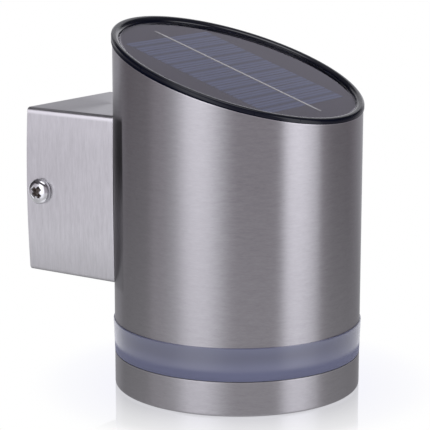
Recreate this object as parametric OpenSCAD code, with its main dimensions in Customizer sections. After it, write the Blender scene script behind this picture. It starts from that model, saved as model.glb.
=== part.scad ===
// Solar wall light: a brushed steel tube with a slanted top that carries the solar panel,
// a frosted light ring above a steel base cap, and a box bracket held on a wall plate.
// Every piece is drawn with the tube's axis on Z, the base on z = 0 and the wall towards +Y.
// placed() then moves it, so that the origin is the centre of the wall plate, on the wall.

/* [Tube] */
// Outer diameter of the steel tube
tube_d = 90; // [84:1:110]
// Sheet thickness of the tube
tube_wall = 0.8; // [0.6:0.1:1.2]
// Height of the slanted cut above the base, on the tube's axis
body_h = 114.7; // [112:0.1:140]
// Slope of the cut, rising towards the wall, in degrees
slope = 17.4; // [8:0.2:20]

/* [Base cap] */
// Height of the steel cap
cap_h = 12.5; // [11:0.5:18]
// Sheet thickness of the cap
cap_wall = 0.8; // [0.6:0.1:1.2]
// Radius of the cap's lower edge
cap_edge_r = 0.9; // [0.8:0.1:2]
// Depth of the pressed dimples that the screw heads sit in
dimple_depth = 2.4; // [2.2:0.1:3.2]
// Radius of a dimple
dimple_r = 5; // [4.5:0.1:6]

/* [Light ring] */
// Visible height of the frosted ring
ring_h = 12.05; // [9:0.5:18]
// Shadow gap between the cap and the ring
ring_gap = 0.25; // [0.1:0.05:0.6]
// How far the ring's top edge stands proud of the tube
ring_proud = 0.45; // [0.1:0.05:1]
// Wall thickness of the ring's collars
ring_wall = 1.6; // [1.2:0.1:2.4]
// Height of the collar inside the tube
upper_collar_h = 6; // [4:0.5:10]
// Height of the collar inside the cap
lower_collar_h = 5; // [3:0.5:7]

/* [Panel bezel] */
// Height of the lip above the cut, on the tube's axis
lip_h = 2.5; // [2.3:0.05:3.5]
// How much steeper the lip and the panel lie than the cut, in degrees
lip_tilt = 0.9; // [0:0.1:1]
// Width of the lip
lip_w = 3; // [2.4:0.1:4]
// How far the lip stands out over the tube
lip_overhang = 0.35; // [0:0.05:0.6]
// Radius of the lip's outer edge
lip_round = 0.9; // [0.3:0.1:1.2]
// Radius of the lip's inner edge
lip_inner_round = 0.5; // [0.2:0.1:0.8]
// Depth of the skirt inside the tube
skirt_h = 9; // [7:0.5:14]
// Wall thickness of the skirt
skirt_wall = 1.7; // [1.4:0.1:2.2]
// Width of the ledge that the panel lies on
ledge_w = 2.8; // [2:0.1:4]
// Thickness of the ledge
ledge_t = 1.6; // [1.2:0.1:2.5]
// Height of the sealing bead around the skirt
seal_h = 1.8; // [1.2:0.1:2.5]

/* [Solar panel] */
// Depth from the top of the lip to the clear resin
recess_depth = 1.65; // [1:0.05:2.2]
// Thickness of the clear resin over the panel's board
resin_t = 0.95; // [0.7:0.05:1.5]
// Thickness of the panel's board
panel_t = 1.6; // [1:0.1:2]
// Thickness of the adhesive tape under the board
tape_t = 0.5; // [0.3:0.1:1]
// Number of cell strips
cell_count = 8; // [4:1:8]
// Width of a cell strip, across the slope
cell_w = 50; // [30:1:52]
// Distance from one strip to the next
cell_pitch = 7.97; // [6:0.1:8]
// Gap between two strips
cell_gap = 0.5; // [0.2:0.1:1]
// Thickness of a cell
cell_t = 0.25; // [0.15:0.05:0.3]
// Shift of the cells towards the wall, along the slope
cell_shift = 1.2; // [0:0.1:1.5]
// Width of the silver ribbon down the middle of the cells
ribbon_w = 1.4; // [0.8:0.1:2]
// Thickness of the ribbon
ribbon_t = 0.15; // [0.1:0.05:0.2]
// Length of the ribbon past the last strip at each end
ribbon_past = 6; // [3:0.5:7]

/* [Bracket box] */
// Distance from the tube's axis to the wall
reach = 77; // [74:0.5:100]
// Width of the box
bracket_w = 51.6; // [42:0.2:54]
// Height of the box
bracket_h = 61.9; // [52:0.1:64]
// Height of the box's underside above the base
bracket_z = 36.8; // [36:0.1:40]
// Sheet thickness of the box
bracket_t = 1; // [0.8:0.1:1.5]
// Outward bow of the side walls at mid height
bracket_bow = 1; // [0.2:0.1:1.6]
// Outer radius of the folds
fold_r = 1.4; // [1.1:0.1:2.5]

/* [Wall plate] */
// Sheet thickness of the wall plate
plate_t = 1.5; // [1.2:0.1:2.5]
// Clearance between the wall plate and the box around it
plate_gap = 0.35; // [0.2:0.05:0.6]
// Length of the folded ears
ear_l = 13; // [11:0.5:18]
// Height of the folded ears
ear_h = 32; // [20:1:44]
// Outer radius of the plate's folds
plate_fold_r = 2.2; // [1.6:0.1:3]
// Distance between the two wall slots
slot_pitch = 40; // [30:1:42]
// Width of a wall slot
slot_w = 5; // [4:0.5:6]
// Length of a wall slot, end to end
slot_l = 8; // [7:0.5:10]

/* [Screws] */
// Thread diameter of the two side screws
side_screw_d = 5; // [4:0.5:5]
// Head diameter of the side screws
side_head_d = 9.5; // [8:0.5:10]
// Head height of the side screws
side_head_h = 3.3; // [2.6:0.1:3.6]
// Length of the side screws below the head
side_screw_l = 12; // [8:1:16]
// Distance of the side screws from the wall
side_screw_inset = 6.8; // [5.1:0.1:7]
// Thread diameter of the two bolts between bracket and tube
bolt_d = 4; // [3:0.5:5]
// Distance between these bolts
bolt_pitch = 24; // [18:1:30]
// Length of these bolts below the head
bolt_l = 12; // [11:1:14]
// Thread diameter of the three base screws
base_screw_d = 2.9; // [2.5:0.1:3.2]
// Length of the base screws below the head
base_screw_l = 20; // [16:1:24]
// Distance of the base screws from the tube's axis
base_screw_circle = 33; // [32:0.5:34]

/* [Inside] */
// Wall thickness of the moulded inner pieces
mould_t = 2.2; // [1.8:0.1:2.6]
// Thickness of the white reflector
reflector_t = 1.2; // [1:0.1:1.6]
// Height of the reflector's top above the base
reflector_top = 19; // [16:0.5:20]
// Number of light-emitting diodes
led_count = 6; // [3:1:9]
// Diameter of the round diode board
led_board_d = 52; // [46:1:54]
// Diameter of a battery
battery_d = 14.3; // [13.5:0.1:14.5]
// Length of a battery
battery_l = 50.3; // [44:0.1:50.5]
// Width of the control board
board_w = 42; // [36:1:46]
// Height of the control board
board_h = 26; // [22:1:32]
// Diameter of the insulated leads
lead_d = 1.4; // [1:0.1:1.6]
// Distance from the batteries' tray to the control board
board_behind = 12; // [11.5:0.1:13]
// How far the batteries lie in front of the tube's axis
tray_forward = 8; // [7:0.1:9]

/* [Switch] */
// Travel of the switch's slider
slider_travel = 3; // [2:0.1:4]
// Length of the slider's thumb piece, along its travel
thumb_l = 4; // [3:0.1:5]
// Width of the slider's thumb piece
thumb_w = 3.4; // [2.5:0.1:4]

/* [Hidden] */

$fn = 96;
steel = [0.66, 0.66, 0.67];
bright_steel = [0.82, 0.82, 0.84];
gloss_black = [0.03, 0.03, 0.035];
moulded_black = [0.07, 0.07, 0.075];
board_green = [0.08, 0.3, 0.16];
lead_black = [0.1, 0.1, 0.1];
lead_red = [0.7, 0.1, 0.1];

// Clearances: between pieces that stay still, around a screw's shank, in its thread, and between
// the slider and the switch body around it
fit = 0.15;
screw_clear = 0.25;
thread_clear = 0.05;
slide_clear = 0.3;
// How far a cutter runs past what it cuts, and a size larger than the whole lamp
past = 1;
beyond = 400;

tube_r = tube_d / 2;
tube_ri = tube_r - tube_wall;
cap_ri = tube_r - cap_wall;
ring_z = cap_h + ring_gap;
tube_z = ring_z + ring_h;
collar_r = min(tube_ri, cap_ri) - fit;
ring_ri = collar_r - ring_wall;
frame_top = ring_z - lower_collar_h;
deck_z = tube_z + upper_collar_h;
deck_top = deck_z + mould_t;
mount_z = bracket_z + bracket_h / 2;

skirt_r = tube_ri - fit;
recess_r = tube_r + lip_overhang - lip_w;
resin_top = lip_h - recess_depth;
board_top = resin_top - resin_t;
tape_top = board_top - panel_t;
ledge_top = tape_top - tape_t;

// The switch, the batteries' tray and the control board, which other pieces line up with
switch_wall = 1.2;
carriage = [thumb_l + 3, thumb_w + 1.6, 1.6];
switch_l = carriage[0] + slider_travel + 2 * (slide_clear + switch_wall);
switch_w = carriage[1] + 2 * (slide_clear + switch_wall);
switch_h = carriage[2] + 2 * (slide_clear + switch_wall);
tray_t = 1.5;
contact_t = 0.4;
spring_l = 4;
tray_in_w = 2 * battery_d + 3 * fit;
tray_side = tray_in_w / 2 + tray_t - tray_forward;
board_t = 1.6;
board_y = tray_side + board_behind;
board_z = deck_top + mould_t;
socket_w = 5;
socket_x = 6;
socket_y = board_y - socket_w / 2;
lead_hole_y = tray_side + 5;
lead_hole_r = 2 * lead_d;

panel_slope = slope + lip_tilt;
function on_panel(y) = body_h + y * tan(panel_slope);

function arc(centre, r, from, to, steps = 6) = [
    for (i = [0:steps])
        let (a = from + (to - from) * i / steps)
        centre + r * [cos(a), sin(a)]
];

module placed() translate([0, -reach, -mount_z]) children();

// A ring around the tube's axis that keeps its cross-section, given as points of radius, height
// and the slope of the plane that the height is measured over
lean_sides = 72;
function over(angle, section) = [for (p = section) [p[0], p[1], angle]];
module leaning_ring(section) {
    n = len(section);
    turn = 360 / lean_sides;
    points = [for (i = [0:lean_sides - 1], p = section)
        let (x = p[0] * cos(i * turn), y = p[0] * sin(i * turn))
        [x, y, body_h + y * tan(p[2]) + p[1]]];
    walls = [for (i = [0:lean_sides - 1], k = [0:n - 1])
        let (j = (i + 1) % lean_sides, m = (k + 1) % n)
        [i * n + k, i * n + m, j * n + m, j * n + k]];
    polyhedron(points, walls);
}

// The space over a slanted plane, which crosses the tube's axis at a height over the cut
module above(height, angle)
    translate([0, 0, body_h + height]) rotate([angle, 0, 0])
        translate([-beyond / 2, -beyond / 2, 0]) cube(beyond);

module slanted_disc(r, low, high, angle = panel_slope) {
    intersection() {
        difference() {
            cylinder(r = r, h = beyond);
            above(high, angle);
        }
        above(low, angle);
    }
}

// The panel's own plane: X across the slope, Y up the slope, Z square to the board
module on_board() translate([0, 0, body_h + board_top]) rotate([panel_slope, 0, 0]) children();

module along_y(r, from, to) translate([0, from, 0]) rotate([-90, 0, 0]) cylinder(r = r, h = to - from);

module box(size) translate([-size[0] / 2, -size[1] / 2, 0]) cube(size);

module round_slot(length, width, height) {
    for (side = [-1, 1])
        translate([0, side * (length - width) / 2, 0]) cylinder(d = width, h = height);
    box([width, length - width, height]);
}

module at_base_screws()
    for (a = [30, 150, 270])
        rotate(a) translate([base_screw_circle, 0, 0]) children();

module lead_hole() translate([0, lead_hole_y, 0]) cylinder(r = lead_hole_r, h = beyond);

module at_bolts()
    for (side = [-1, 1]) translate([0, 0, mount_z + side * bolt_pitch / 2]) children();

// A screw with a domed head over z = 0, a cross recess in it and the shank below
module pan_screw(d, head_d, head_h, length) {
    head_r = head_d / 2;
    rim_h = head_h * 0.3;
    dome_h = head_h - rim_h;
    dome_r = (head_r * head_r + dome_h * dome_h) / (2 * dome_h);
    recess_w = head_d * 0.14;
    recess_l = head_d * 0.52;
    recess_floor = head_h * 0.35;
    difference() {
        rotate_extrude() polygon(concat(
            [[0, 0], [head_r, 0]],
            arc([0, head_h - dome_r], dome_r, 90 - asin(head_r / dome_r), 90, 10)
        ));
        for (turn = [45, 135])
            rotate(turn) translate([0, 0, recess_floor]) box([recess_l, recess_w, head_h]);
        translate([0, 0, recess_floor]) cylinder(r = recess_w, h = head_h);
    }
    translate([0, 0, -length]) cylinder(d = d, h = length);
}

// A round tube swept along points; no stretch may run along X
sweep_sides = 8;
function unit(v) = v / norm(v);
function heading(p, i) = unit(p[min(i + 1, len(p) - 1)] - p[max(i - 1, 0)]);
function swept_ring(p, i, r) =
    let (t = heading(p, i), u = unit(cross(t, [1, 0, 0])), v = cross(t, u))
    [for (k = [0:sweep_sides - 1])
        p[i] + r * (cos(360 * k / sweep_sides) * u + sin(360 * k / sweep_sides) * v)];

module sweep(p, d) {
    n = sweep_sides;
    last = (len(p) - 1) * n;
    points = [for (i = [0:len(p) - 1]) each swept_ring(p, i, d / 2)];
    walls = [for (i = [0:len(p) - 2], k = [0:n - 1], half = [0, 1])
        half == 0
            ? [i * n + k, i * n + (k + 1) % n, (i + 1) * n + k]
            : [i * n + (k + 1) % n, (i + 1) * n + (k + 1) % n, (i + 1) * n + k]];
    ends = [[for (k = [n - 1:-1:0]) k], [for (k = [0:n - 1]) last + k]];
    polyhedron(points, concat(walls, ends));
}

// Brushed steel tube, cut square below and slanted above
module tube_shell() placed() color(steel)
    difference() {
        translate([0, 0, tube_z]) cylinder(r = tube_r, h = beyond);
        cylinder(r = tube_ri, h = 2 * beyond);
        above(0, slope);
        at_bolts() along_y(bolt_d / 2 + screw_clear, 0, tube_r + past);
    }

// Gloss black bezel: a rolled lip on the tube's edge, a grooved skirt inside and a ledge for the
// panel
skirt_ri = skirt_r - skirt_wall;
ledge_ri = recess_r - ledge_w;
seal_ri = skirt_r - 0.8;
seal_low = -skirt_h + 1.2;
module panel_bezel() placed() color(gloss_black)
    leaning_ring(concat(
        over(slope, [[skirt_r, 0], [tube_r + lip_overhang, 0]]),
        over(panel_slope, concat(
            arc([tube_r + lip_overhang - lip_round, lip_h - lip_round], lip_round, 0, 90, 5),
            arc([recess_r + lip_inner_round, lip_h - lip_inner_round], lip_inner_round, 90, 180, 3),
            [
                [recess_r, ledge_top], [ledge_ri, ledge_top],
                [ledge_ri, ledge_top - ledge_t], [skirt_ri, ledge_top - ledge_t],
            ]
        )),
        over(slope, [
            [skirt_ri, -skirt_h], [skirt_r, -skirt_h],
            [skirt_r, seal_low], [seal_ri, seal_low],
            [seal_ri, seal_low + seal_h], [skirt_r, seal_low + seal_h],
        ])
    ));

// Rubber bead in the skirt's groove
module bezel_seal() placed() color([0.12, 0.12, 0.12])
    difference() {
        slanted_disc(tube_ri, seal_low, seal_low + seal_h, slope);
        cylinder(r = seal_ri, h = beyond);
    }

// Adhesive tape between the bezel's ledge and the board
module panel_tape() placed() color([0.2, 0.2, 0.2])
    difference() {
        slanted_disc(recess_r - 2 * fit, ledge_top, tape_top);
        cylinder(r = ledge_ri + fit, h = beyond);
    }

module panel_board() placed() color([0.2, 0.19, 0.2])
    slanted_disc(recess_r - fit, tape_top, board_top);

// The strips of silicon that lie on the board
cell_l = cell_pitch - cell_gap;
module cell_strips()
    on_board() for (i = [0:cell_count - 1])
        translate([0, cell_shift + (i - (cell_count - 1) / 2) * cell_pitch, 0])
            box([cell_w, cell_l, cell_t]);

module solar_cells() placed() color([0.24, 0.26, 0.36]) cell_strips();

ribbon_l = cell_count * cell_pitch - cell_gap + 2 * ribbon_past;
module ribbon_strip()
    on_board() translate([0, cell_shift, cell_t]) box([ribbon_w, ribbon_l, ribbon_t]);

module cell_ribbon() placed() color([0.8, 0.8, 0.8]) ribbon_strip();

// Clear resin cast over the board, cells and ribbon
module panel_resin() placed() color([0.55, 0.55, 0.6, 0.35])
    difference() {
        slanted_disc(recess_r - fit / 3, board_top, resin_top);
        cell_strips();
        ribbon_strip();
    }

// Two leads from the back of the solar board down to the sockets on the control board
panel_lead_y = board_y - 7;
panel_lead_z = on_panel(panel_lead_y - lead_d) + tape_top;
socket_top = board_z + board_h - 4;
module panel_leads() placed() for (side = [-1, 1])
    color(side < 0 ? lead_black : lead_red) sweep([
        [side * socket_x, panel_lead_y, panel_lead_z],
        [side * socket_x, panel_lead_y, panel_lead_z - 12],
        [side * socket_x, panel_lead_y + 1.5, socket_top + 30],
        [side * socket_x, panel_lead_y + 3, socket_top + 12],
        [side * socket_x, socket_y, socket_top + 4],
        [side * socket_x, socket_y, socket_top],
    ], lead_d);

// Frosted ring: a proud band between two collars
ring_edge = 0.3;
module diffuser_ring() placed() color([0.6, 0.63, 0.75, 0.8])
    rotate_extrude() polygon([
        [ring_ri, frame_top], [collar_r, frame_top], [collar_r, ring_z], [tube_r, ring_z],
        [tube_r + ring_proud, tube_z - ring_edge], [tube_r + ring_proud - ring_edge / 2, tube_z],
        [collar_r, tube_z], [collar_r, deck_z], [ring_ri, deck_z],
    ]);

// Pressed steel cap with a dimple around each base screw and a window for the switch
dimple_top = dimple_depth + cap_wall;
window_l = thumb_l + slider_travel + 9;
window_w = thumb_w + 6;
module bottom_cap() placed() color(steel)
    difference() {
        union() {
            rotate_extrude() polygon(concat(
                [[0, cap_wall], [0, 0]],
                arc([tube_r - cap_edge_r, cap_edge_r], cap_edge_r, -90, 0),
                [[tube_r, cap_h], [cap_ri, cap_h], [cap_ri, cap_wall]]
            ));
            at_base_screws() cylinder(r = dimple_r + cap_wall, h = dimple_top);
        }
        at_base_screws() {
            translate([0, 0, -past]) cylinder(r = dimple_r, h = dimple_depth + past);
            cylinder(r = base_screw_d / 2 + screw_clear, h = dimple_top + past);
        }
        translate([0, 0, -past]) rotate(90)
            round_slot(window_l, window_w, cap_wall + 2 * past);
    }

// Moulded frame inside the cap: a stepped rim for the ring and the reflector, a tower over each
// dimple and two posts beside the switch
frame_r = cap_ri - fit;
frame_ri = frame_r - mould_t;
frame_floor = cap_wall + mould_t;
step_z = frame_top - reflector_t;
tower_r = base_screw_d / 2 + 3;
tower_top = ring_z + 1.5;
turret_r = dimple_r + cap_wall + fit;
thumb_slot = [thumb_l + slider_travel + 2 * slide_clear, thumb_w + 2 * slide_clear, frame_floor + past];
module base_frame() placed() color(moulded_black)
    difference() {
        union() {
            difference() {
                translate([0, 0, cap_wall]) cylinder(r = frame_r, h = frame_top - cap_wall);
                translate([0, 0, frame_floor]) cylinder(r = frame_ri - mould_t, h = beyond);
                translate([0, 0, step_z]) cylinder(r = frame_ri, h = beyond);
            }
            at_base_screws() translate([0, 0, cap_wall]) {
                cylinder(r = turret_r + mould_t / 2, h = dimple_depth + mould_t);
                cylinder(r = tower_r, h = tower_top - cap_wall);
            }
            for (side = [-1, 1])
                translate([side * (switch_l + mould_t + 2 * fit) / 2, 0, cap_wall])
                    box([mould_t, switch_w + 2 * mould_t, mould_t + switch_h * 0.8]);
        }
        at_base_screws() {
            cylinder(r = turret_r, h = dimple_top);
            cylinder(r = base_screw_d / 2 + screw_clear, h = beyond);
        }
        box(thumb_slot);
    }

base_head_d = 5.6;
base_head_h = dimple_depth - 0.5;
module base_screws() placed() color(bright_steel)
    at_base_screws() translate([0, 0, dimple_depth]) mirror([0, 0, 1])
        pan_screw(base_screw_d, base_head_d, base_head_h, base_screw_l);

// White cone that turns the light of the diodes out through the ring
reflector_r = frame_ri - fit;
reflector_flat = 9;
flare_steps = 12;
flare_radii = [for (i = [0:flare_steps]) reflector_flat + (reflector_r - reflector_flat) * i / flare_steps];
function flare(r) =
    let (t = (reflector_r - r) / (reflector_r - reflector_flat))
    frame_top + (reflector_top - frame_top) * t * t;
module reflector() placed() color([0.93, 0.93, 0.92])
    difference() {
        rotate_extrude() polygon(concat(
            [[0, reflector_top]],
            [for (r = flare_radii) [r, flare(r)]],
            [for (i = [flare_steps:-1:0]) [flare_radii[i], flare(flare_radii[i]) - reflector_t]],
            [[0, reflector_top - reflector_t]]
        ));
        at_base_screws() cylinder(r = tower_r + 2 * fit, h = beyond);
        lead_hole();
    }

// Round board under the chassis, with the diodes on its lower face
led_gap = 2.5;
led_board_t = 1.6;
led_board_top = deck_z - led_gap;
led_board_low = led_board_top - led_board_t;
led_size = [2.8, 3.5, 1.4];
led_circle = led_board_d / 2 - 5;
led_post_circle = led_board_d / 2 - 9;
led_screw_d = 2.2;
led_head_d = 4;
led_head_h = 1.4;
led_bite = 1.5;
module at_led_posts() for (a = [30, 150, 270]) rotate(a) translate([led_post_circle, 0, 0]) children();

module led_board() placed() color([0.85, 0.85, 0.83])
    difference() {
        translate([0, 0, led_board_low]) cylinder(d = led_board_d, h = led_board_t);
        at_led_posts() cylinder(d = led_screw_d + screw_clear, h = beyond);
        lead_hole();
    }

module leds() placed() color([0.95, 0.9, 0.55])
    for (i = [0:led_count - 1])
        rotate(i * 360 / led_count) translate([led_circle, 0, led_board_low - led_size[2]]) box(led_size);

module led_board_screws() placed() color(bright_steel)
    at_led_posts() translate([0, 0, led_board_low]) mirror([0, 0, 1])
        pan_screw(led_screw_d, led_head_d, led_head_h, led_board_t + led_gap + led_bite);

// Moulded chassis: a deck on the ring's collar, a pillar for each base screw, posts for the diode
// board below, a mast for the bracket's bolts and two slotted posts for the control board
mast_w = 16;
mast_t = 5;
mast_y = skirt_r - mast_t;
mast_top = mount_z + bolt_pitch / 2 + 7;
led_post_d = 5.7;
post_w = 5;
board_hold = 1.6;
module chassis() placed() color(moulded_black)
    difference() {
        union() {
            translate([0, 0, deck_z]) cylinder(r = collar_r, h = mould_t);
            at_base_screws() translate([0, 0, tower_top]) cylinder(r = tower_r, h = deck_top - tower_top);
            at_led_posts() translate([0, 0, led_board_top]) cylinder(d = led_post_d, h = led_gap + mould_t / 2);
            intersection() {
                translate([0, 0, deck_z]) cylinder(r = skirt_r, h = mast_top - deck_z);
                translate([-mast_w / 2, mast_y, 0]) cube([mast_w, mast_w, beyond]);
            }
            for (side = [-1, 1])
                translate([side * (board_w / 2 - board_hold + post_w / 2), board_y + board_t / 2, deck_z])
                    box([post_w, post_w, mould_t * 2 + board_h * 0.75]);
        }
        at_base_screws() cylinder(d = base_screw_d + 2 * thread_clear, h = dimple_depth + base_screw_l + past);
        at_led_posts() cylinder(d = led_screw_d + 2 * thread_clear, h = deck_z + led_bite);
        at_bolts() along_y(bolt_d / 2 + screw_clear, mast_y - past, tube_r);
        translate([0, board_y + board_t / 2, board_z])
            box([board_w + 2 * fit, board_t + 2 * thread_clear, beyond]);
        lead_hole();
    }

// Open tray for two batteries side by side, head to tail
tray_in_l = battery_l + spring_l + 2 * contact_t;
module battery_holder() placed() color(moulded_black)
    translate([0, -tray_forward, deck_top]) difference() {
        box([tray_in_l + 2 * tray_t, tray_in_w + 2 * tray_t, tray_t + battery_d * 0.9]);
        translate([0, 0, tray_t]) box([tray_in_l, tray_in_w, beyond]);
        translate([0, 0, tray_t + battery_d * 0.62]) box([tray_in_l - 12, beyond, beyond]);
    }

module at_batteries()
    for (side = [-1, 1])
        translate([0, side * (battery_d + fit) / 2 - tray_forward, deck_top + tray_t + battery_d / 2])
            rotate(side > 0 ? 0 : 180) children();

cap_end_d = 5.4;
cap_end_h = 1.2;
module batteries() placed() color([0.16, 0.42, 0.3])
    at_batteries() translate([(spring_l - battery_l) / 2, 0, 0]) rotate([0, 90, 0]) {
        cylinder(d = battery_d, h = battery_l - cap_end_h);
        cylinder(d = cap_end_d, h = battery_l);
    }

module battery_contacts() placed() color(bright_steel)
    at_batteries() for (side = [-1, 1])
        translate([side * (tray_in_l - contact_t) / 2, 0, -battery_d / 2])
            box([contact_t, battery_d * 0.7, battery_d * 0.85]);

// Cone springs: the wire winds from a wide turn on the contact to a narrow one on the battery
spring_turns = 3;
spring_wire = 0.8;
spring_rings = 14;
spring_wide = 4.6;
spring_narrow = 2.4;
module battery_springs() placed() color(bright_steel)
    at_batteries() translate([contact_t - tray_in_l / 2, 0, 0]) sweep([
        for (i = [0:spring_turns * spring_rings])
            let (t = i / (spring_turns * spring_rings), a = 360 * i / spring_rings)
            let (r = spring_wide + (spring_narrow - spring_wide) * t)
            [spring_wire / 2 + t * (spring_l - spring_wire), r * cos(a), r * sin(a)]
    ], spring_wire);

// Leads from the tray to the control board
module battery_leads() placed() for (side = [-1, 1])
    color(side < 0 ? lead_black : lead_red) sweep([
        [side * 11, tray_side, deck_top + lead_d],
        [side * 11, tray_side + 2, deck_top + lead_d],
        [side * 11, board_y - 4.5, deck_top + lead_d + 1],
        [side * 11, board_y - 3, board_z + 3.5],
        [side * 11, board_y - 1.5, board_z + 5],
        [side * 11, board_y, board_z + 5],
    ], lead_d);

// Control board, standing in the chassis's slotted posts, with its parts on the front
module control_board() placed() color(board_green)
    translate([0, board_y + board_t / 2, board_z]) box([board_w, board_t, board_h]);

module on_control_board(x, z) translate([x, board_y, board_z + z]) rotate([90, 0, 0]) children();

chip = [5, 4, 1.5];
module control_chip() placed() color([0.06, 0.06, 0.06])
    on_control_board(-1, board_h * 0.42) box(chip);

coil_d = 4.5;
coil_flange_d = 7;
coil_flange_t = 1;
coil_h = 5;
module inductor() placed() color([0.2, 0.2, 0.2])
    on_control_board(-13, board_h * 0.55) {
        cylinder(d = coil_d, h = coil_h);
        cylinder(d = coil_flange_d, h = coil_flange_t);
        translate([0, 0, coil_h - coil_flange_t]) cylinder(d = coil_flange_d, h = coil_flange_t);
    }

capacitor_d = 5;
capacitor_h = 8;
module capacitor() placed() color([0.12, 0.16, 0.35])
    on_control_board(11, board_h * 0.45) cylinder(d = capacitor_d, h = capacitor_h);

// Two sockets at the board's upper edge that the panel's leads plug into
module lead_sockets() placed() color([0.9, 0.88, 0.8])
    for (side = [-1, 1])
        translate([side * socket_x, socket_y, socket_top - socket_w]) box([socket_w, socket_w, socket_w]);

// Leads from the diode board, up through the chassis to the control board
module led_leads() placed() for (side = [-1, 1])
    color([0.9, 0.9, 0.85]) sweep([
        [side * 0.9, lead_hole_y + 4, led_board_top],
        [side * 0.9, lead_hole_y + 4, led_board_top + 0.8],
        [side * 0.9, lead_hole_y + 1.4, deck_z],
        [side * 0.9, lead_hole_y + 1.4, deck_top + 0.8],
        [side * 2, board_y - 3, deck_top + 3],
        [side * 3, board_y - 1.5, board_z + 2.5],
        [side * 3, board_y, board_z + 2.5],
    ], lead_d * 0.8);

// Slide switch: a hollow body on the frame's floor, open below for the slider's thumb piece
module power_switch() placed() color([0.1, 0.1, 0.1])
    translate([0, 0, frame_floor]) difference() {
        box([switch_l, switch_w, switch_h]);
        translate([0, 0, switch_wall])
            box([switch_l - 2 * switch_wall, switch_w - 2 * switch_wall, switch_h - 2 * switch_wall]);
        translate([0, 0, -past]) box([thumb_slot[0], thumb_slot[1], switch_wall + 2 * past]);
    }

// The slider rests at the near end of its travel, which runs along +X
thumb_z = 0.7;
thumb_ridge = 0.3;
carriage_z = frame_floor + switch_wall + slide_clear;
module switch_slider() placed() color([0.85, 0.85, 0.85])
    translate([-slider_travel / 2, 0, 0]) {
        translate([0, 0, carriage_z]) box(carriage);
        translate([0, 0, thumb_z]) box([thumb_l, thumb_w, carriage_z - thumb_z]);
        for (ridge = [-1, 0, 1])
            translate([ridge * thumb_l / 3, 0, thumb_z - thumb_ridge])
                box([thumb_l / 8, thumb_w, 2 * thumb_ridge]);
    }

// Leads from the switch, under the reflector and up through the boards
module switch_leads() placed() for (side = [-1, 1])
    color([0.15, 0.15, 0.6]) sweep([
        [side * 3, 0, frame_floor + switch_h],
        [side * 3, 0, frame_floor + switch_h + 1],
        [side * 2.2, 5, frame_floor + switch_h + 2.4],
        [side * 0.9, lead_hole_y - 3.5, frame_floor + switch_h + 3],
        [side * 0.9, lead_hole_y - 1.2, frame_floor + switch_h + 5.5],
        [side * 0.9, lead_hole_y - 1.2, deck_top + 1],
        [side * 4, board_y - 5, deck_top + 4],
        [side * 7, board_y - 1.5, board_z + 6],
        [side * 7, board_y, board_z + 6],
    ], lead_d * 0.8);

// Outline of the folded box in its cross-section: flat top and bottom, bowed sides
bow_steps = 8;
function box_outline(w, h, r, bow) = concat(
    arc([w / 2 - r, -h / 2 + r], r, -90, 0),
    [for (i = [1:bow_steps - 1])
        let (t = -1 + 2 * i / bow_steps)
        [w / 2 + bow * (1 - t * t), t * (h / 2 - r)]],
    arc([w / 2 - r, h / 2 - r], r, 0, 90),
    arc([-w / 2 + r, h / 2 - r], r, 90, 180),
    [for (i = [1:bow_steps - 1])
        let (t = 1 - 2 * i / bow_steps)
        [-w / 2 - bow * (1 - t * t), t * (h / 2 - r)]],
    arc([-w / 2 + r, -h / 2 + r], r, 180, 270)
);

module box_prism(shrink, from, to)
    translate([0, to, mount_z]) rotate([90, 0, 0]) linear_extrude(to - from)
        polygon(box_outline(bracket_w - 2 * shrink, bracket_h - 2 * shrink, fold_r - shrink, bracket_bow));

// Folded steel box, open to the wall, with a saddle that follows the tube
saddle_r = tube_r + thread_clear;
module bracket_box() placed() color(steel)
    difference() {
        box_prism(0, 0, reach);
        difference() {
            box_prism(bracket_t, 0, reach + past);
            cylinder(r = saddle_r + bracket_t, h = beyond);
        }
        cylinder(r = saddle_r, h = beyond);
        at_bolts() along_y(bolt_d / 2 + screw_clear, 0, saddle_r + bracket_t + past);
        translate([-beyond / 2, reach - side_screw_inset, mount_z]) rotate([0, 90, 0])
            cylinder(r = side_screw_d / 2 + screw_clear, h = beyond);
    }

module bracket_bolts() placed() color(bright_steel)
    at_bolts() translate([0, saddle_r + bracket_t, 0]) rotate([-90, 0, 0])
        pan_screw(bolt_d, 2 * bolt_d, 0.65 * bolt_d, bolt_l);

nut_af = 1.75 * bolt_d;
nut_h = 0.8 * bolt_d;
module bracket_nuts() placed() color(bright_steel)
    at_bolts() difference() {
        translate([0, mast_y - nut_h, 0]) rotate([-90, 0, 0])
            cylinder(d = nut_af / cos(30), h = nut_h, $fn = 6);
        along_y(bolt_d / 2 + thread_clear, 0, mast_y + past);
    }

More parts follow.
